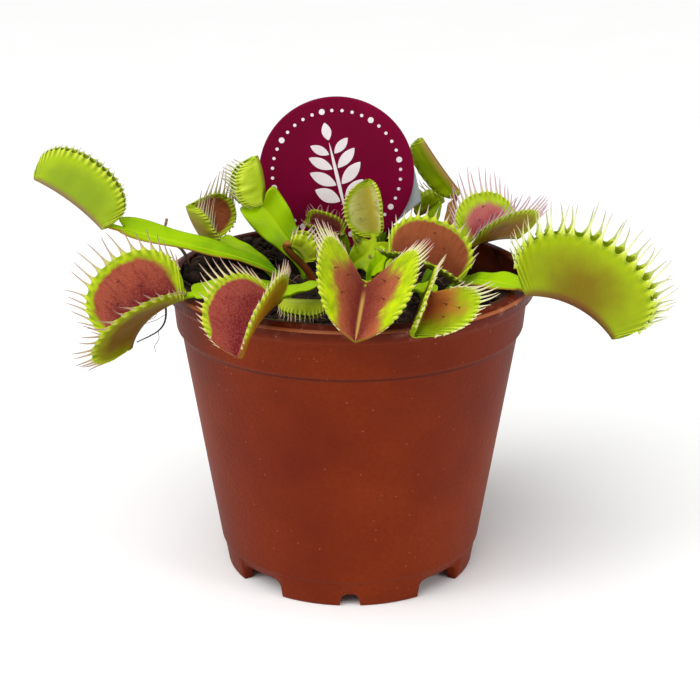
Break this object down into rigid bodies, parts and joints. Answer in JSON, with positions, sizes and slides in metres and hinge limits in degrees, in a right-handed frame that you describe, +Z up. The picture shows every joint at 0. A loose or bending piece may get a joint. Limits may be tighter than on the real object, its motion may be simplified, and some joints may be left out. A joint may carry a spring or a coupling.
{
  "type": "potted venus flytrap",
  "caption": "Venus flytrap with toothed snap traps on winged petioles, in a small footed plastic nursery pot of peat with a round plant label behind.",
  "frame": {"origin": "on the ground under the pot's axis, which is within a millimetre of the centre of the plant's bounding box", "axes": "+Z up, -Y towards the viewer of the label's front, +X to the viewer's right, along the widest spread of the leaves"},
  "size_m": [0.147, 0.1158, 0.1126],
  "materials": {
    "terracotta_plastic": "fine-grained terracotta-brown moulded plastic",
    "peat": "dark crumbly peat, rough",
    "label_print": "printed burgundy plastic film, satin",
    "stake_plastic": "pale translucent plastic",
    "leaf_green": "waxy yellow-green leaf, red inside the traps"
  },
  "bodies": {
    "root": {"pot": "terracotta_plastic", "soil": "peat", "label_disc": "label_print", "label_stake": "stake_plastic", "leaf_far_left": "leaf_green", "leaf_left": "leaf_green", "leaf_front_left": "leaf_green", "leaf_front": "leaf_green", "leaf_front_right": "leaf_green", "leaf_right": "leaf_green", "leaf_middle_right": "leaf_green", "leaf_right_rear": "leaf_green", "leaf_tall_right": "leaf_green", "leaf_egg": "leaf_green", "leaf_small_pink": "leaf_green", "leaf_left_rear": "leaf_green", "leaf_left_tall": "leaf_green", "leaf_young": "leaf_green", "leaf_low_front": "leaf_green", "leaf_right_back": "leaf_green", "leaf_back_left": "leaf_green", "leaf_back_right": "leaf_green"}
  },
  "joints": []
}
